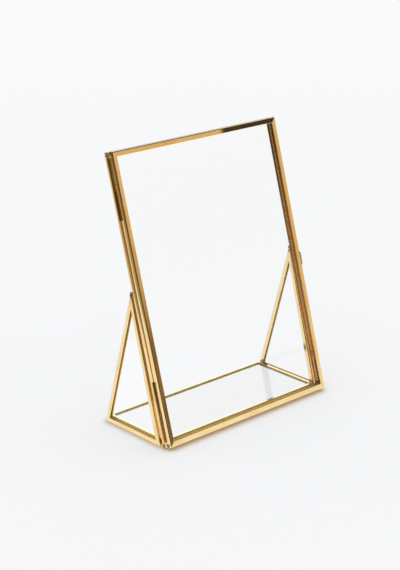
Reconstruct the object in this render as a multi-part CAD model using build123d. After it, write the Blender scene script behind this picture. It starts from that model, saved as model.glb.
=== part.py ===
from build123d import *
from math import acos, atan2, cos, degrees, hypot, radians, sin, sqrt, tan
import os

# Glass photo stand. A hinged glass door closes on a fixed glass back panel, and both lean back on two
# glazed triangles with a glazed base between them. All edges are folded brass channel, mitred and soldered.
# Sizes are in millimetres. X runs to the right, Y to the back and Z up.

# Door and back panel, measured over the channel
panel_width = 151.0
panel_height = 200.8
lean_angle = 16.3
panel_gap = 0.3
panel_above_table = 0.35

# Folded channel
channel_thickness = 4.2
channel_depth = 3.9
channel_wall = 0.5
channel_corner = 0.8
web_bulge = 0.4
lip_round = 0.2

# Glass panes in the channel
glass_thickness = 3.0
glass_edge_gap = 0.6

# Triangles at the sides
support_depth = 68.3
apex_along_panel = 108.5
support_overhang = 0.5
toe_gap = 2.0
apex_flat = 0.8
support_channel_depth = 3.5
support_web_bulge = 0.1

# Base between the triangles
base_channel_depth = 2.8
base_to_panel_gap = 0.1

# Wire hinges on the left edge
hinge_end_margin = 4.2
fixed_knuckle_length = 21.2
door_knuckle_length = 20.0
knuckle_spacing = 0.2
knuckle_diameter = 1.7
hinge_wire = 0.9
hinge_wire_clearance = 0.05
hinge_swing_gap = 0.05
knuckle_foot_width = 0.5
pin_head_diameter = 1.5
pin_head_height = 0.4

# Turning latch on the right edge
latch_height = 98.2
latch_plate = 0.8
latch_play = 0.1
latch_arm_width = 3.4
latch_arm_reach = 6.4
latch_tail_reach = 3.8
latch_post_diameter = 1.2
latch_post_clearance = 0.05
latch_head_diameter = 2.0
latch_head_height = 1.4
keeper_diameter = 1.2
keeper_clearance = 0.2
keeper_head_diameter = 2.2
keeper_head_height = 0.6

# Solder
corner_solder_size = 2.4
corner_solder_rise = 0.2
corner_solder_taper = 25
apex_solder_width = 1.2
apex_solder_length = 5.0
apex_solder_rise = 0.15

# Values that follow from the sizes above
lean = radians(lean_angle)
half_width = panel_width / 2
web_radius = ((channel_thickness / 2) ** 2 + web_bulge ** 2) / (2 * web_bulge)
panel_spacing = channel_thickness + panel_gap
stack_depth = panel_spacing + channel_thickness
panel_lift = panel_above_table + stack_depth * sin(lean) - web_bulge * cos(lean)
support_outer = half_width + support_overhang
support_inner = support_outer - channel_thickness
to_leaning = Pos(0, 0, panel_lift) * Rot(-lean_angle, 0, 0)

parts = {}


def turned_left(direction):
    """The direction in the XY plane a quarter turn anticlockwise from this one."""
    return Vector(-direction.Y, direction.X)


def inset_corner(corners, inset, index):
    """Where the two sides that meet at a corner cross after both move inward by the inset."""
    before = (corners[index] - corners[index - 1]).normalized()
    after = (corners[(index + 1) % len(corners)] - corners[index]).normalized()
    sine = before.cross(after).Z
    return corners[index] + (after - before) * (inset / sine)


def inset_outline(corners, inset):
    return [inset_corner(corners, inset, index) for index in range(len(corners))]


def channel_section(depth, bulge):
    """Section of the folded channel: its bulging web touches x = 0 and its flanges reach to x = depth."""
    half = channel_thickness / 2
    web = ThreePointArc((bulge, half), (0, 0), (bulge, -half))
    flanges = Polyline((bulge, -half), (depth, -half), (depth, half), (bulge, half))
    outside = make_face(web + flanges)
    outside = fillet(outside.vertices().sort_by(Axis.X)[:2], channel_corner)
    hollow_place = Pos(bulge + channel_wall + depth / 2, 0)
    hollow = hollow_place * Rectangle(depth, channel_thickness - 2 * channel_wall)
    section = outside - hollow
    return fillet(section.vertices().sort_by(Axis.X)[-4:], lip_round)


def channel_ring(corners, depth, bulge):
    """Mitred channel bars, one along each side of a convex outline that runs anticlockwise."""
    mitres = [inside - corner for corner, inside in zip(corners, inset_outline(corners, depth))]
    bars = []
    for index, start in enumerate(corners):
        following = (index + 1) % len(corners)
        end = corners[following]
        along = (end - start).normalized()
        section = Plane(origin=start, x_dir=turned_left(along), z_dir=along) * channel_section(depth, bulge)
        bar = extrude(section, amount=(end - start).length)
        # The wedge between the two mitre lines, longer than the bar is deep
        wedge = Polygon(start - mitres[index], end - mitres[following],
                        end + mitres[following] * 2, start + mitres[index] * 2, align=None)
        bars.append((bar & extrude(wedge, amount=channel_thickness, both=True)).solid())
    return bars


def pane(corners, bulge):
    """Glass that stands in the channel around an outline, clear of its webs."""
    outline = Polygon(*inset_outline(corners, bulge + channel_wall + glass_edge_gap), align=None)
    return extrude(outline, amount=glass_thickness / 2, both=True).solid()


def prism(corners, thickness):
    return extrude(Polygon(*corners, align=None), amount=thickness / 2, both=True)


def upright(depth):
    """Stands a shape drawn in the XY plane up at this depth behind the door's front face."""
    return Pos(0, depth, 0) * Rot(90, 0, 0)


def add_panel(name, front_face):
    """Four mitred bars, their glass and the solder on the corners, all leaning."""
    corners = [Vector(-half_width, 0), Vector(half_width, 0),
               Vector(half_width, panel_height), Vector(-half_width, panel_height)]
    middle = upright(front_face + channel_thickness / 2)
    bars = channel_ring(corners, channel_depth, web_bulge)
    for side, bar in zip(("bottom_rail", "right_stile", "top_rail", "left_stile"), bars):
        parts[f"{name}_{side}"] = to_leaning * middle * bar
    parts[f"{name}_glass"] = to_leaning * middle * pane(corners, web_bulge)
    solid_panel = prism(corners, channel_thickness)
    lump_centres = inset_outline(corners, corner_solder_size / 2 - corner_solder_rise)
    lump_outline = Rectangle(corner_solder_size, corner_solder_size)
    lump = extrude(lump_outline, amount=corner_solder_size / 2, both=True, taper=corner_solder_taper)
    lumps = [(Pos(centre) * lump - solid_panel).solid() for centre in lump_centres]
    parts[f"{name}_corner_solder"] = to_leaning * middle * Compound(lumps)


def support_corners():
    """The triangle's outline in the YZ plane: foot from front to rear, then the tip."""
    toe = Vector((stack_depth - panel_lift * sin(lean)) / cos(lean) + toe_gap, 0)
    heel = Vector(support_depth, 0)
    tip = Vector(stack_depth * cos(lean) + apex_along_panel * sin(lean),
                 panel_lift - stack_depth * sin(lean) + apex_along_panel * cos(lean))
    return [toe, heel, tip]


def add_supports():
    """Both glazed triangles, with their tips cut off flat and capped with solder that joins the panel."""
    corners = support_corners()
    toe, heel, tip = corners
    down = (inset_corner(corners, support_channel_depth, 2) - tip).normalized()
    half_angle = acos(down.dot((toe - tip).normalized()))
    flat_centre = tip + down * (apex_flat / 2 / tan(half_angle))
    above_flat = Plane(origin=flat_centre, x_dir=(0, 0, 1), z_dir=down * -1)
    foot, rear_leg, front_leg = channel_ring(corners, support_channel_depth, support_web_bulge)
    cap_place = Pos(flat_centre + down * (apex_solder_length / 2 - apex_solder_rise))
    cap_turn = Rot(0, 0, degrees(atan2(down.Y, down.X)))
    cap_outline = Rectangle(apex_solder_length, apex_solder_width)
    cap_outline = chamfer(cap_outline.vertices().sort_by(Axis.X)[-2:], apex_solder_width / 3)
    cap_outline = cap_place * cap_turn * cap_outline
    cap = extrude(cap_outline, amount=channel_thickness / 2 + apex_solder_rise, both=True)
    between = extrude(cap_outline, amount=channel_thickness / 2, both=True)
    cap = cap - split(between, bisect_by=above_flat, keep=Keep.BOTTOM)
    up_the_panel = Vector(sin(lean), cos(lean))
    behind_panel = Plane(origin=tip, x_dir=(0, 0, 1), z_dir=turned_left(up_the_panel) * -1)
    shapes = {
        "foot": foot,
        "rear_leg": split(rear_leg, bisect_by=above_flat, keep=Keep.BOTTOM),
        "front_leg": split(front_leg, bisect_by=above_flat, keep=Keep.BOTTOM),
        "glass": pane(corners, support_web_bulge),
        "tip_solder": split(cap, bisect_by=behind_panel, keep=Keep.TOP),
    }
    centre = support_outer - channel_thickness / 2
    for name, shape in shapes.items():
        right = Plane.YZ.offset(centre) * shape.solid()
        parts[f"left_support_{name}"] = mirror(right, about=Plane.YZ)
        parts[f"right_support_{name}"] = right


def add_base():
    """Glazed frame that lies between the triangles, behind the back panel."""
    panel_back = (stack_depth + (channel_thickness - panel_lift) * sin(lean)) / cos(lean)
    front = panel_back + base_to_panel_gap - support_web_bulge
    corners = [Vector(-support_inner, front), Vector(support_inner, front),
               Vector(support_inner, support_depth), Vector(-support_inner, support_depth)]
    middle = Pos(0, 0, channel_thickness / 2)
    bars = channel_ring(corners, base_channel_depth, support_web_bulge)
    for side, bar in zip(("front", "right", "rear", "left"), bars):
        parts[f"base_{side}_rail"] = middle * bar
    parts["base_glass"] = middle * pane(corners, support_web_bulge)


def knuckle(length, side):
    """Hinge tube along Z with a foot of solder on the panel's edge: side 1 is the back, -1 the door."""
    radius = knuckle_diameter / 2
    reach = hinge_out + web_bulge
    foot_near = side * (panel_gap / 2 + channel_corner)
    foot_far = foot_near + side * knuckle_foot_width
    tangent_turn = atan2(foot_far, reach) + side * acos(radius / hypot(foot_far, reach))
    tangent = Vector(radius * cos(tangent_turn), radius * sin(tangent_turn))
    foot = make_face(Polyline((0, 0), (reach, foot_near), (reach, foot_far), tangent, close=True))
    web = Pos(hinge_out + web_radius, side * panel_spacing / 2) * Circle(web_radius)
    bore = Circle(hinge_wire / 2 + hinge_wire_clearance)
    return extrude(Circle(radius) + foot - web - bore, amount=length).solid()


def headed_post(diameter, length, head_diameter, head_height):
    """Post up along Z from the origin, with a domed head on its top."""
    head_radius = head_diameter / 2
    dome_radius = (head_radius ** 2 + head_height ** 2) / (2 * head_height)
    upward = (Align.CENTER, Align.CENTER, Align.MIN)
    post = Cylinder(diameter / 2, length, align=upward)
    head = Pos(0, 0, length) * Cylinder(head_radius, head_height, align=upward)
    dome = Pos(0, 0, length + head_height - dome_radius) * Sphere(dome_radius)
    return (post + (head & dome)).solid()


knuckle_reach = web_radius + knuckle_diameter / 2 + hinge_swing_gap
hinge_out = sqrt(knuckle_reach ** 2 - (panel_spacing / 2) ** 2) - web_radius
hinge_axis_depth = channel_thickness + panel_gap / 2
hinge_length = fixed_knuckle_length + knuckle_spacing + door_knuckle_length
hinge_axis = to_leaning * Pos(-half_width - hinge_out, hinge_axis_depth, 0)


def hinge_pieces():
    """One hinge along Z: the fixed tube, the door's tube above it and the wire pin with its head below."""
    door_tube_start = fixed_knuckle_length + knuckle_spacing
    pin = headed_post(hinge_wire, hinge_length, pin_head_diameter, pin_head_height)
    return {
        "fixed_tube": knuckle(fixed_knuckle_length, 1),
        "door_tube": Pos(0, 0, door_tube_start) * knuckle(door_knuckle_length, -1),
        "pin": Pos(0, 0, hinge_length) * Rot(180, 0, 0) * pin,
    }


def add_hinges():
    """The upper hinge is the lower one mirrored about the middle of the panel's height."""
    for name, piece in hinge_pieces().items():
        lower = Pos(0, 0, hinge_end_margin) * piece
        upper = mirror(lower, about=Plane.XY.offset(panel_height / 2))
        parts[f"lower_hinge_{name}"] = hinge_axis * lower
        parts[f"upper_hinge_{name}"] = hinge_axis * upper


def latch_plate_shape():
    """Strip hanging from its pivot, with a curved notch on its rear edge that swings over the keeper."""
    strip_middle = Pos(0, (latch_tail_reach - latch_arm_reach) / 2)
    strip_length = latch_arm_reach + latch_tail_reach
    strip = strip_middle * Rot(0, 0, 90) * SlotOverall(strip_length, latch_arm_width)
    slot_radius = keeper_diameter / 2 + keeper_clearance
    ring = Circle(panel_spacing + slot_radius) - Circle(panel_spacing - slot_radius)
    rear_side = Pos(latch_arm_reach / 2, -latch_arm_reach / 2) * Rectangle(latch_arm_reach, latch_arm_reach)
    notch_end = Pos(0, -panel_spacing) * Circle(slot_radius)
    bore = Circle(latch_post_diameter / 2 + latch_post_clearance)
    return strip - (ring & rear_side) - notch_end - bore


def add_latch():
    """Latch on the door's right edge and its keeper on the back panel's right edge, level with each other."""
    door_web = Pos(half_width, channel_thickness / 2, latch_height) * Plane.YZ.location
    back_web = door_web * Pos(panel_spacing, 0, 0)
    swing_space = latch_plate + 2 * latch_play
    plate = extrude(latch_plate_shape(), amount=latch_plate)
    parts["latch_hook"] = to_leaning * door_web * Pos(0, 0, latch_play) * plate.solid()
    parts["latch_pivot"] = to_leaning * door_web * headed_post(latch_post_diameter, swing_space,
                                                               latch_head_diameter, latch_head_height)
    parts["latch_keeper"] = to_leaning * back_web * headed_post(keeper_diameter, swing_space,
                                                                keeper_head_diameter, keeper_head_height)


add_panel("door", 0)
add_panel("back", panel_spacing)
add_supports()
add_base()
add_hinges()
add_latch()

# The origin is under the middle of the whole object, on the surface that it stands on
bounds = Compound(list(parts.values())).bounding_box()
to_origin = Pos(-bounds.center().X, -bounds.center().Y, -bounds.min.Z)

os.makedirs("parts", exist_ok=True)
for node, shape in parts.items():
    export_step(to_origin * shape, f"parts/{node}.step")
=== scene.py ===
from collections import namedtuple
from math import atan2, cos, pi, radians, sin, sqrt

import bmesh
import bpy
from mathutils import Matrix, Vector, noise

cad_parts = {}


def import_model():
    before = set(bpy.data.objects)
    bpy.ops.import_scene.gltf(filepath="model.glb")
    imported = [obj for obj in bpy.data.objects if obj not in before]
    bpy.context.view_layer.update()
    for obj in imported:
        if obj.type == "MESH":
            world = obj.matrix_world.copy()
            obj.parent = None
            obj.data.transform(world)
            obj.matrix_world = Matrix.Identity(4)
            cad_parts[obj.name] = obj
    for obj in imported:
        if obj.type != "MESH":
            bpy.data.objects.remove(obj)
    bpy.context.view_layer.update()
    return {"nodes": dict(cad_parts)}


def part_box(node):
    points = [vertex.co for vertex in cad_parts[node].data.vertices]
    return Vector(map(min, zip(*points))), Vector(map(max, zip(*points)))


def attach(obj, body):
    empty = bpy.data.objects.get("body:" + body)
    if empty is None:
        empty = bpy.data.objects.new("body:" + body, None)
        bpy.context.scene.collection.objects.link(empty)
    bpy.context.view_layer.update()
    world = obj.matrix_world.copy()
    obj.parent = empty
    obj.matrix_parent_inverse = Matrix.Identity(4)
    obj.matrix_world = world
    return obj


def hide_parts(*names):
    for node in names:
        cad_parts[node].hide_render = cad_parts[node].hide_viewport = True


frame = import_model()
nodes = frame["nodes"]

MM = 0.001

# Camera, from straight edges in the photograph
CAMERA_AIM = Vector((-0.01162, 0.00703, 0.09188))
CAMERA_DISTANCE = 1.011
CAMERA_AZIMUTH = radians(-42.65)
CAMERA_ELEVATION = radians(19.43)
LENS = 92.07
SENSOR = 36.0

# The side toward which brass sees the paper painted bright
PAINTED_BRIGHT_SIDE = (0.66, -0.75, 0.0)

# Colours of the paper near the object, a little darker as painted shade, and far off, and the distances
# between which they change, its grain, and how much of what the camera sees of it is its own light
FLOOR_NEAR = (0.955, 0.962, 0.972)
FLOOR_FAR = (0.985, 0.987, 0.990)
FLOOR_NEAR_TO_FAR = (0.15, 2.4)
FLOOR_GRAIN = (0.8, 0.8, 0.8)
FLOOR_GRAIN_SCALE = 3000
FLOOR_OWN_LIGHT = 0.4
FLOOR_OWN_LIGHT_IN_GLASS = 1.0
FLOOR_HALF_WIDTH = 12.0

# The paper as brass mirrors it is a painted glow. It gets darker between two distances, to a level that
# depends on how far behind the object it lies, and darker again far off, but is painted light toward the
# bright side.
FLOOR_IN_METAL = (0.29, 0.38)
FLOOR_BEHIND_IN_METAL = (0.45, 1.0, 0.42, 1.0)
FAR_FLOOR_IN_METAL = (0.5, 1.1, 1.0, 0.45)
FLOOR_BRIGHT_SIDE_SPAN = (0.8, 0.9)

# What brass makes of a level of light
STUDIO_TONES = (
    (0.0, (0.030, 0.012, 0.004)),
    (0.12, (0.13, 0.070, 0.026)),
    (0.25, (0.25, 0.175, 0.10)),
    (0.4, (0.38, 0.29, 0.18)),
    (0.75, (0.70, 0.57, 0.34)),
    (0.9, (0.86, 0.80, 0.66)),
    (1.0, (1.0, 1.0, 0.97)),
)

# The floor under the object: reach and colour of the shade, and its level where it is deepest
SHADE_REACH = 0.0055
SHADE_COLOUR = (0.42, 0.30, 0.17)
SHADE_LEVEL = 0.15

# Painted shade in corners and folds of the brass: the colour painted there, and higher up if that differs,
# the reach of the shade, whether only the bar's own folds count, how much less metallic it is there, and the
# tint of reflections at a grazing angle
FoldShade = namedtuple("FoldShade", "colour upper_colour reach alone dullness edge_tint",
                   defaults=(None, 0.0016, False, 0.5, (1.0, 1.0, 1.0)))
FOLD_SHADE = FoldShade((0.74, 0.46, 0.09))
RAIL_FOLD_SHADE = FoldShade((0.95, 0.62, 0.12))
OLIVE_FOLD_SHADE = FoldShade((0.58, 0.52, 0.25))
RIGHT_FOLD_SHADE = FoldShade((0.78, 0.43, 0.01), (0.34, 0.13, 0.0), 0.005, True, 0.2, (1.0, 0.68, 0.12))
# How deep the painted fold shade goes, and the heights between which it turns to the upper colour
FOLD_SHADE_DEPTH = 0.9
UPPER_FOLD_SHADE_FROM, UPPER_FOLD_SHADE_FULL = 0.10, 0.20

# Brass and solder have a light and a dark tone, and solder is partly dull
BRASS = (0.95, 0.74, 0.42), (0.91, 0.67, 0.34)
HINGE_BRASS = (0.56, 0.36, 0.14), (0.40, 0.24, 0.08)
LATCH_BRASS = (0.50, 0.41, 0.24), (0.33, 0.27, 0.15)
SOLDER_TONES = (0.86, 0.66, 0.38), (0.13, 0.08, 0.025)
SOLDER_METALLIC = 0.75

# Glass: its tint, the colour of what passes straight on, and how much it mirrors
PICTURE_GLASS_TINT = (0.997, 0.998, 1.0)
BASE_GLASS_TINT = (0.985, 0.995, 0.995)
CLEAR_PASS = (0.97, 0.98, 0.985)
GLASS_IOR = 1.5
PICTURE_GLASS_MIRROR = 0.15
BASE_GLASS_MIRROR = 0.3

# Roughness of the brass, and how dark its tarnish is
POLISHED, HINGE_SATIN, LATCH_SATIN = 0.09, 0.22, 0.26
TARNISH = 0.72

# Size of the marks on brass, as scales of noise, how much they are drawn out along the bar, and their height
LINE_SCALE, LINE_STRETCH, LINE_HEIGHT = 4200, 0.02, 0.04 * MM
SWELL_SCALE, SWELL_STRETCH, WAVE_HEIGHT = 130, 0.25, 0.3 * MM
CLOUD_SCALE = 55
SPOT_SCALE = 900

# The same for solder and glass
SOLDER_SCALE, SOLDER_BUMP = 620, 0.15 * MM
SMEAR_SCALE = 26
RIPPLE_SCALE, RIPPLE_HEIGHT = 14, 0.4 * MM

# Directions in which the bars run
LEAN = radians(16.3)
ACROSS = Vector((1, 0, 0))
DEPTH = Vector((0, 1, 0))
UP_PANEL = Vector((0, sin(LEAN), cos(LEAN)))

# Bars whose normals lean a little: toward where, along which axis, and from and to which place on it
TOP_RAIL_TIP = UP_PANEL * 0.085, "X", 0.0165, 0.0265
LEFT_STILE_TIP = ACROSS * -0.101, "Z", 0.27, 0.06
RIGHT_STILE_TIP = UP_PANEL * 0.045, "Z", 0.19, 0.10


def camera():
    data = bpy.data.cameras.new("camera")
    data.lens = LENS
    data.sensor_width = SENSOR
    data.clip_start = 0.01
    data.clip_end = 50
    eye = CAMERA_AIM + CAMERA_DISTANCE * Vector((
        sin(CAMERA_AZIMUTH) * cos(CAMERA_ELEVATION),
        -cos(CAMERA_AZIMUTH) * cos(CAMERA_ELEVATION),
        sin(CAMERA_ELEVATION)))
    obj = bpy.data.objects.new("camera", data)
    obj.location = eye
    obj.rotation_euler = (CAMERA_AIM - eye).to_track_quat("-Z", "Y").to_euler()
    bpy.context.scene.collection.objects.link(obj)
    bpy.context.scene.camera = obj


class Graph:
    """Short calls for building one node tree."""

    def __init__(self, tree):
        self.tree = tree
        tree.nodes.clear()

    def node(self, kind, **settings):
        made = self.tree.nodes.new(kind)
        for name, value in settings.items():
            setattr(made, name, value)
        return made

    def put(self, socket, value):
        if isinstance(value, bpy.types.NodeSocket):
            self.tree.links.new(value, socket)
        else:
            socket.default_value = value

    def math(self, operation, *values, clamp=False):
        made = self.node("ShaderNodeMath", operation=operation, use_clamp=clamp)
        for socket, value in zip(made.inputs, values):
            self.put(socket, value)
        return made.outputs[0]

    def vector(self, operation, *values):
        made = self.node("ShaderNodeVectorMath", operation=operation)
        for socket, value in zip(made.inputs, values):
            self.put(socket, value)
        return made.outputs["Value"] if operation in ("DOT_PRODUCT", "LENGTH") else made.outputs["Vector"]

    def scaled(self, vector, factor):
        made = self.node("ShaderNodeVectorMath", operation="SCALE")
        self.put(made.inputs[0], vector)
        self.put(made.inputs["Scale"], factor)
        return made.outputs["Vector"]

    def noise(self, vector, scale, detail=2.0, roughness=0.5):
        made = self.node("ShaderNodeTexNoise")
        self.put(made.inputs["Vector"], vector)
        made.inputs["Scale"].default_value = scale
        made.inputs["Detail"].default_value = detail
        made.inputs["Roughness"].default_value = roughness
        return made.outputs["Fac"]

    def bump(self, height, strength, distance, normal=None):
        made = self.node("ShaderNodeBump")
        made.inputs["Strength"].default_value = strength
        made.inputs["Distance"].default_value = distance
        self.put(made.inputs["Height"], height)
        if normal is not None:
            self.put(made.inputs["Normal"], normal)
        return made.outputs[0]

    def remap(self, value, low, high, to_low, to_high, smooth=True):
        made = self.node("ShaderNodeMapRange", interpolation_type="SMOOTHSTEP" if smooth else "LINEAR")
        for socket, number in zip(made.inputs, (value, low, high, to_low, to_high)):
            self.put(socket, number)
        return made.outputs[0]

    def mix(self, factor, first, second):
        made = self.node("ShaderNodeMix", data_type="RGBA")
        self.put(made.inputs["Factor"], factor)
        self.put(made.inputs[6], first)
        self.put(made.inputs[7], second)
        return made.outputs[2]


def material(name):
    made = bpy.data.materials.new(name)
    made.use_nodes = True
    return made, Graph(made.node_tree)


def finish_shader(graph, shader):
    output = graph.node("ShaderNodeOutputMaterial")
    graph.put(output.inputs["Surface"], shader)


def brass(name, along, tones=BRASS, roughness=POLISHED, tip=None, folds=FOLD_SHADE):
    """Drawn brass: tone and gloss vary slowly, fine lines run along the bar, and painted shade browns it in
    corners.
    """
    made, g = material(name)
    light, dark = tones
    place = g.node("ShaderNodeTexCoord").outputs["Object"]
    along_part = g.scaled(tuple(along), g.vector("DOT_PRODUCT", place, tuple(along)))
    across_part = g.vector("SUBTRACT", place, along_part)
    lines = g.noise(g.vector("ADD", g.scaled(along_part, LINE_STRETCH), across_part), LINE_SCALE, detail=3)
    swell = g.noise(g.vector("ADD", g.scaled(along_part, SWELL_STRETCH), across_part), SWELL_SCALE, detail=1)
    clouds = g.noise(place, CLOUD_SCALE, detail=4, roughness=0.6)
    spots = g.noise(place, SPOT_SCALE)
    colour = g.mix(g.remap(clouds, 0.35, 0.7, 0.0, 1.0), (*light, 1), (*dark, 1))
    colour = g.mix(g.remap(spots, 0.62, 0.8, 0.0, 0.5), colour, (*[tone * TARNISH for tone in dark], 1))
    # Painted shade: deep in corners and folds the colour turns to the painted fold colour and the metal
    # duller
    fold_shade_amount = painted_fold_shade(g, folds)
    shader = g.node("ShaderNodeBsdfPrincipled")
    g.put(shader.inputs["Base Color"], g.mix(fold_shade_amount, colour, painted_fold_colour(g, place, folds)))
    g.put(shader.inputs["Metallic"], g.math("SUBTRACT", 1.0, g.math("MULTIPLY", fold_shade_amount, folds.dullness)))
    line_gloss = g.remap(lines, 0.3, 0.8, roughness * 0.7, roughness * 1.4)
    g.put(shader.inputs["Roughness"], g.math("ADD", line_gloss, g.remap(clouds, 0.4, 0.75, 0.0, 0.05)))
    waves = g.bump(swell, 0.3, WAVE_HEIGHT, tipped_normal(g, place, *tip) if tip else None)
    g.put(shader.inputs["Normal"], g.bump(lines, 0.12, LINE_HEIGHT, waves))
    shader.inputs["Specular Tint"].default_value = (*folds.edge_tint, 1)
    finish_shader(g, shader.outputs[0])
    return made


def painted_fold_shade(g, folds):
    """Amount of painted shade, from 0 on open surfaces to the fullest deep in corners and folds."""
    hollow = g.node("ShaderNodeAmbientOcclusion", samples=8, only_local=folds.alone)
    hollow.inputs["Distance"].default_value = folds.reach
    return g.remap(hollow.outputs["AO"], 0.35, 0.95, FOLD_SHADE_DEPTH, 0.0)


# The colour of the painted fold shade, turning to the upper colour higher up where one is given
def painted_fold_colour(g, place, folds):
    if not folds.upper_colour:
        return (*folds.colour, 1)
    height = g.vector("DOT_PRODUCT", place, (0.0, 0.0, 1.0))
    upper = g.remap(height, UPPER_FOLD_SHADE_FROM, UPPER_FOLD_SHADE_FULL, 0.0, 1.0)
    return g.mix(upper, (*folds.colour, 1), (*folds.upper_colour, 1))


def tipped_normal(g, place, toward, axis, start, end):
    """The surface normal, leaning toward a direction more and more between two places along an axis."""
    split = g.node("ShaderNodeSeparateXYZ")
    g.put(split.inputs[0], place)
    amount = g.remap(split.outputs[axis], start, end, 0.0, 1.0, smooth=False)
    normal = g.node("ShaderNodeNewGeometry").outputs["Normal"]
    return g.vector("NORMALIZE", g.vector("ADD", normal, g.scaled(tuple(toward), amount)))


def solder_material():
    made, g = material("solder")
    place = g.node("ShaderNodeTexCoord").outputs["Object"]
    clouds = g.noise(place, SOLDER_SCALE, detail=4, roughness=0.65)
    light, dark = SOLDER_TONES
    shader = g.node("ShaderNodeBsdfPrincipled")
    darkened = g.remap(clouds, 0.44, 0.56, 0.0, 1.0)
    g.put(shader.inputs["Base Color"], g.mix(darkened, (*light, 1), (*dark, 1)))
    g.put(shader.inputs["Roughness"], g.remap(clouds, 0.3, 0.7, 0.28, 0.5))
    g.put(shader.inputs["Normal"], g.bump(clouds, 0.6, SOLDER_BUMP))
    shader.inputs["Metallic"].default_value = SOLDER_METALLIC
    finish_shader(g, shader.outputs[0])
    return made


def glass_material(name, tint, mirror):
    """Clear sheet. Shadows, and the light that brass and paper get through it, pass straight on."""
    made, g = material(name)
    place = g.node("ShaderNodeTexCoord").outputs["Object"]
    smears = g.noise(place, SMEAR_SCALE, detail=4, roughness=0.6)
    ripple = g.noise(place, RIPPLE_SCALE, detail=1)
    shader = g.node("ShaderNodeBsdfPrincipled")
    shader.inputs["Base Color"].default_value = (*tint, 1)
    shader.inputs["Transmission Weight"].default_value = 1.0
    shader.inputs["IOR"].default_value = GLASS_IOR
    shader.inputs["Specular Tint"].default_value = (mirror, mirror, mirror, 1)
    g.put(shader.inputs["Roughness"], g.remap(smears, 0.5, 0.8, 0.0, 0.02))
    g.put(shader.inputs["Normal"], g.bump(ripple, 0.04, RIPPLE_HEIGHT))
    clear = g.node("ShaderNodeBsdfTransparent")
    clear.inputs["Color"].default_value = (*CLEAR_PASS, 1)
    path = g.node("ShaderNodeLightPath")
    straight = g.math("MAXIMUM", path.outputs["Is Shadow Ray"], path.outputs["Is Diffuse Ray"])
    straight = g.math("MAXIMUM", straight, seen_in_metal(g, path))
    mixed = g.node("ShaderNodeMixShader")
    g.put(mixed.inputs[0], straight)
    g.put(mixed.inputs[1], shader.outputs[0])
    g.put(mixed.inputs[2], clear.outputs[0])
    finish_shader(g, mixed.outputs[0])
    return made


def metal_light(g, level):
    """What polished brass shows of the studio: white where it is light, warmer as it gets darker."""
    ramp = g.node("ShaderNodeValToRGB")
    ramp.color_ramp.elements.remove(ramp.color_ramp.elements[1])
    for place, colour in STUDIO_TONES:
        stop = ramp.color_ramp.elements.new(place) if place else ramp.color_ramp.elements[0]
        stop.color = (*colour, 1)
    g.put(ramp.inputs[0], level)
    return ramp.outputs["Color"]


def seen_in_metal(g, path):
    """Rays through the panes count as glossy too, and are left out here."""
    return g.math("SUBTRACT", path.outputs["Is Glossy Ray"], path.outputs["Is Transmission Ray"], clamp=True)


def floor_material():
    """Pale paper. It is partly its own light, so that the shadow on it stays small and soft."""
    made, g = material("paper_floor")
    place = g.node("ShaderNodeTexCoord").outputs["Object"]
    distance = g.vector("LENGTH", place)
    # Painted shade: the paper's colour is a little darker near the object than far off
    far = g.remap(distance, *FLOOR_NEAR_TO_FAR, 0.0, 1.0)
    grain = g.noise(place, FLOOR_GRAIN_SCALE)
    colour = g.mix(far, (*FLOOR_NEAR, 1), (*FLOOR_FAR, 1))
    colour = g.mix(g.remap(grain, 0.3, 0.7, 0.0, 0.02), colour, (*FLOOR_GRAIN, 1))
    under = g.node("ShaderNodeAmbientOcclusion", samples=8)
    under.inputs["Distance"].default_value = SHADE_REACH
    shade = g.remap(under.outputs["AO"], 0.3, 1.0, SHADE_LEVEL, 1.0, smooth=False)
    path = g.node("ShaderNodeLightPath")
    through = path.outputs["Is Transmission Ray"]
    shaded = g.math("SUBTRACT", g.math("SUBTRACT", 1.0, shade), through, clamp=True)
    colour = g.mix(shaded, colour, (*SHADE_COLOUR, 1))
    paper = g.node("ShaderNodeBsdfDiffuse")
    g.put(paper.inputs["Color"], colour)
    glow = g.node("ShaderNodeEmission")
    g.put(glow.inputs["Color"], colour)
    own_light = g.node("ShaderNodeMixShader")
    g.put(own_light.inputs[0], g.remap(through, 0.0, 1.0, FLOOR_OWN_LIGHT, FLOOR_OWN_LIGHT_IN_GLASS))
    g.put(own_light.inputs[1], paper.outputs[0])
    g.put(own_light.inputs[2], glow.outputs[0])
    # Painted reflection: what brass mirrors of the paper is a glow, darker behind and far off, light toward
    # one side
    mirrored = g.node("ShaderNodeEmission")
    bearing = g.vector("NORMALIZE", place)
    behind = g.vector("DOT_PRODUCT", bearing, (0.0, 1.0, 0.0))
    near = g.remap(distance, *FLOOR_IN_METAL, 1.0, g.remap(behind, *FLOOR_BEHIND_IN_METAL))
    level = g.math("MULTIPLY", near, g.remap(distance, *FAR_FLOOR_IN_METAL))
    ahead = g.vector("DOT_PRODUCT", bearing, PAINTED_BRIGHT_SIDE)
    level = g.math("MAXIMUM", level, g.remap(ahead, *FLOOR_BRIGHT_SIDE_SPAN, 0.0, 1.0))
    g.put(mirrored.inputs["Color"], metal_light(g, level))
    shader = g.node("ShaderNodeMixShader")
    g.put(shader.inputs[0], seen_in_metal(g, path))
    g.put(shader.inputs[1], own_light.outputs[0])
    g.put(shader.inputs[2], mirrored.outputs[0])
    finish_shader(g, shader.outputs[0])
    return made


def floor():
    mesh = bpy.data.meshes.new("floor")
    signs = ((-1, -1), (1, -1), (1, 1), (-1, 1))
    mesh.from_pydata([(x * FLOOR_HALF_WIDTH, y * FLOOR_HALF_WIDTH, 0) for x, y in signs], [], [(0, 1, 2, 3)])
    obj = bpy.data.objects.new("floor", mesh)
    mesh.materials.append(floor_material())
    bpy.context.scene.collection.objects.link(obj)


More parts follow.
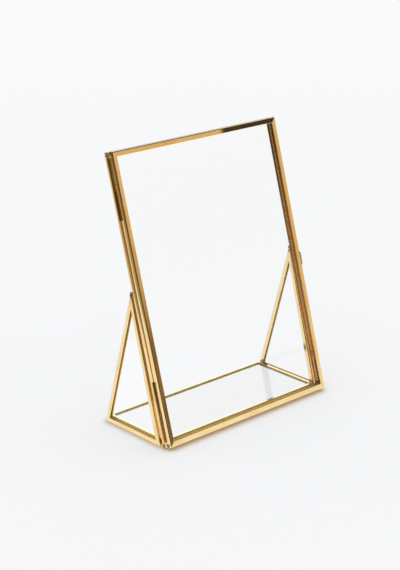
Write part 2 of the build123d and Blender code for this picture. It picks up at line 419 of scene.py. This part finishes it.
# Patches of the studio that polished metal sees: azimuth from the front toward the right in degrees,
# from, to and softness, elevation from, to and softness, brightness. Later patches lie over earlier ones.
STUDIO_WALLS = 0.5
STUDIO_LIGHT = 0.96
STUDIO = (
    (-180, 180, 1, 46, 200, 14, 0.22),
    (-100, 108, 10, 26, 200, 10, 0.18),
    (-130, 28, 10, -200, 200, 1, 0.10),
    (31, 90, 12, -200, 14, 3, 0.96),
    (31, 90, 12, 6, 14, 6, 0.75),
    (116, 160, 8, 6, 40, 8, 1.4),
)
# A black cloth over part of it
CLOTH = (34, 62, 3, 14, 27, 3)
CLOTH_COLOUR = (0.030, 0.034, 0.038)


def inside_patch(g, azimuth, elevation, left, right, side_soft, low, high, height_soft):
    """1 inside a patch of the studio, 0 outside it."""
    inside = 1.0
    for angle, start, end, soft in ((azimuth, left, right, side_soft), (elevation, low, high, height_soft)):
        for edge, sign in ((start, 1), (end, -1)):
            if abs(edge) < 180:
                past = g.math("MULTIPLY", g.math("SUBTRACT", angle, float(edge)), float(sign))
                inside = g.math("MULTIPLY", inside, g.remap(past, -soft / 2, soft / 2, 0.0, 1.0))
    return inside


def world():
    made = bpy.data.worlds.new("studio")
    bpy.context.scene.world = made
    made.use_nodes = True
    g = Graph(made.node_tree)
    direction = g.vector("NORMALIZE", g.node("ShaderNodeTexCoord").outputs["Generated"])
    split = g.node("ShaderNodeSeparateXYZ")
    g.put(split.inputs[0], direction)
    x, y, z = split.outputs
    azimuth = g.math("DEGREES", g.math("ARCTAN2", x, g.math("MULTIPLY", y, -1.0)))
    elevation = g.math("DEGREES", g.math("ARCSINE", z))
    walls = STUDIO_WALLS
    for *borders, level in STUDIO:
        inside = inside_patch(g, azimuth, elevation, *borders)
        walls = g.math("ADD", g.math("MULTIPLY", inside, level),
                       g.math("MULTIPLY", g.math("SUBTRACT", 1.0, inside), walls))
    shown = g.mix(inside_patch(g, azimuth, elevation, *CLOTH), metal_light(g, walls), (*CLOTH_COLOUR, 1))
    path = g.node("ShaderNodeLightPath")
    plain = g.math("MAXIMUM", path.outputs["Is Camera Ray"], path.outputs["Is Transmission Ray"])
    glossy = g.node("ShaderNodeBackground")
    g.put(glossy.inputs["Color"], shown)
    g.put(glossy.inputs["Strength"], g.math("MAXIMUM", walls, 1.0))
    backdrop = g.node("ShaderNodeBackground")
    backdrop.inputs["Color"].default_value = (*FLOOR_FAR, 1)
    light = g.node("ShaderNodeBackground")
    light.inputs["Color"].default_value = (1, 1, 1, 1)
    light.inputs["Strength"].default_value = STUDIO_LIGHT
    seen = g.node("ShaderNodeMixShader")
    g.put(seen.inputs[0], seen_in_metal(g, path))
    g.put(seen.inputs[1], light.outputs[0])
    g.put(seen.inputs[2], glossy.outputs[0])
    last = g.node("ShaderNodeMixShader")
    g.put(last.inputs[0], plain)
    g.put(last.inputs[1], seen.outputs[0])
    g.put(last.inputs[2], backdrop.outputs[0])
    output = g.node("ShaderNodeOutputWorld")
    g.put(output.inputs["Surface"], last.outputs[0])


# The finish of each CAD node: by its name, or else by the first of these parts of a name that is in it
FINISH_OF_NODE = {
    "base_glass": "base_glass",
    "base_left_rail": "base_depth",
    "base_right_rail": "base_depth",
    "door_top_rail": "top_rail",
    "door_left_stile": "left_stile",
    "door_right_stile": "right_stiles",
    "back_right_stile": "right_stiles",
    "right_support_rear_leg": "right_rear_leg",
}
FINISH_OF_PART = {
    "glass": "picture_glass",
    "solder": "solder",
    "_pin": "stiles",
    "hinge": "hinge",
    "latch": "latch",
    "stile": "stiles",
    "base_": "base_across",
    "front_leg": "front_leg",
    "rear_leg": "rear_leg",
    "foot": "depth",
    "rail": "rails",
}


def leg_directions():
    """The front leg leans back with the panels, and the rear leg leans forward."""
    front, rear = (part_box(f"left_support_{name}") for name in ("front_leg", "rear_leg"))
    front_tilt, rear_tilt = (atan2(high.y - low.y, high.z - low.z) for low, high in (front, rear))
    return Vector((0, sin(front_tilt), cos(front_tilt))), Vector((0, -sin(rear_tilt), cos(rear_tilt)))


def make_finishes():
    front_leg, rear_leg = leg_directions()
    return {
        "rails": brass("brass_across", ACROSS, folds=RAIL_FOLD_SHADE),
        "top_rail": brass("brass_top", ACROSS, tip=TOP_RAIL_TIP),
        "left_stile": brass("brass_left", UP_PANEL, tip=LEFT_STILE_TIP),
        "right_stiles": brass("brass_right", UP_PANEL, tip=RIGHT_STILE_TIP, folds=RIGHT_FOLD_SHADE),
        "stiles": brass("brass_leaning", UP_PANEL),
        "depth": brass("brass_depth", DEPTH, folds=RAIL_FOLD_SHADE),
        "base_across": brass("brass_base_across", ACROSS, folds=OLIVE_FOLD_SHADE),
        "base_depth": brass("brass_base_depth", DEPTH, folds=OLIVE_FOLD_SHADE),
        "front_leg": brass("brass_front_leg", front_leg),
        "rear_leg": brass("brass_rear_leg", rear_leg),
        "right_rear_leg": brass("brass_right_rear_leg", rear_leg, folds=OLIVE_FOLD_SHADE),
        "hinge": brass("brass_hinge", UP_PANEL, HINGE_BRASS, HINGE_SATIN),
        "latch": brass("brass_latch", UP_PANEL, LATCH_BRASS, LATCH_SATIN),
        "solder": solder_material(),
        "picture_glass": glass_material("picture_glass", PICTURE_GLASS_TINT, PICTURE_GLASS_MIRROR),
        "base_glass": glass_material("base_glass", BASE_GLASS_TINT, BASE_GLASS_MIRROR),
    }


def dress(finishes):
    """Gives every CAD node its finish."""
    for name, obj in nodes.items():
        parts_in_name = (part for part in FINISH_OF_PART if part in name)
        finish = FINISH_OF_NODE.get(name) or FINISH_OF_PART[next(parts_in_name)]
        for slot in obj.material_slots:
            slot.material = finishes[finish]


# Solder at the corners of the two frames: half size across the bar and along it, its height, how far it is
# moved in from the corner, its mesh, how deep its border is sunk, and how uneven its outline and surface are.
# Each lump takes its own place in the noise.
SOLDER_HALF_WIDTH = 1.4 * MM
SOLDER_HALF_LENGTH = 1.7 * MM
SOLDER_HEIGHT = 0.32 * MM
SOLDER_SHIFT = 0.9 * MM
SOLDER_RINGS = 8
SOLDER_SIDES = 28
SOLDER_SINK = 0.2 * MM
SOLDER_WOBBLE, SOLDER_WOBBLE_SCALE = 0.12, 1.3
SOLDER_DOME = 0.8
SOLDER_GRAIN, SOLDER_GRAIN_SIZE = 0.35, 0.45 * MM
SOLDER_SEED_STEP = 3.7
# How far the CAD lump stands over the bar, how much the bar's web falls off to its edges, and how far out
# they are
CAD_LUMP_RISE = 0.2 * MM
WEB_FALL = 0.4 * MM
WEB_HALF_WIDTH = 1.95 * MM


def solder_lump(mesh, seat, side, seed):
    """One closed, uneven lump on the web of a side bar, its border sunk into the web."""
    out = Vector((side, 0, 0))
    across = Vector((0, cos(LEAN), -sin(LEAN)))

    def point(reach, turn, sunk=0.0):
        wobble = 1 + SOLDER_WOBBLE * noise.noise(Vector((cos(turn), sin(turn), seed)) * SOLDER_WOBBLE_SCALE)
        u = reach * wobble * SOLDER_HALF_WIDTH * cos(turn)
        v = reach * wobble * SOLDER_HALF_LENGTH * sin(turn)
        dome = sqrt(max(0.0, 1 - reach ** 3))
        grain = SOLDER_GRAIN * noise.noise(Vector((u, v, seed * MM)) / SOLDER_GRAIN_SIZE)
        height = SOLDER_HEIGHT * dome * (SOLDER_DOME + grain) - WEB_FALL * (u / WEB_HALF_WIDTH) ** 2 - sunk
        return mesh.verts.new(seat + u * across + v * UP_PANEL + height * out)

    crown = point(0.0, 0.0)
    turns = [2 * pi * step / SOLDER_SIDES for step in range(SOLDER_SIDES)]
    rings = [[point(ring / SOLDER_RINGS, turn) for turn in turns] for ring in range(1, SOLDER_RINGS + 1)]
    rings.append([point(1.0, turn, sunk=SOLDER_SINK) for turn in turns])
    following = [(step, (step + 1) % SOLDER_SIDES) for step in range(SOLDER_SIDES)]
    for here, there in following:
        mesh.faces.new((crown, rings[0][here], rings[0][there]))
    for inner, outer in zip(rings, rings[1:]):
        for here, there in following:
            mesh.faces.new((inner[here], outer[here], outer[there], inner[there]))
    mesh.faces.new(list(reversed(rings[-1])))


def corner_solder(node, body, finish):
    """Uneven lumps where the bars of one frame meet, at the places of the plain ones."""
    obj = nodes[node]
    corners = [obj.matrix_world @ vertex.co for vertex in obj.data.vertices]
    middle = sum(corner.z for corner in corners) / len(corners)
    mesh = bmesh.new()
    for lump, (side, end) in enumerate(((-1, -1), (-1, 1), (1, -1), (1, 1))):
        own = [corner for corner in corners if corner.x * side > 0 and (corner.z - middle) * end > 0]
        seat = sum(own, Vector()) / len(own)
        seat.x = side * (max(abs(corner.x) for corner in own) - CAD_LUMP_RISE)
        seat -= end * SOLDER_SHIFT * UP_PANEL
        solder_lump(mesh, seat, side, SOLDER_SEED_STEP * lump + len(node))
    bmesh.ops.recalc_face_normals(mesh, faces=mesh.faces)
    for face in mesh.faces:
        face.smooth = True
    data = bpy.data.meshes.new(f"{node}_lumps")
    mesh.to_mesh(data)
    mesh.free()
    data.materials.append(finish)
    piece = bpy.data.objects.new(f"{node}_lumps", data)
    bpy.context.scene.collection.objects.link(piece)
    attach(piece, body)
    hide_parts(node)


bpy.context.scene.view_settings.view_transform = "Standard"
camera()
world()
floor()
finishes = make_finishes()
dress(finishes)
corner_solder("door_corner_solder", "door", finishes["solder"])
corner_solder("back_corner_solder", "stand", finishes["solder"])
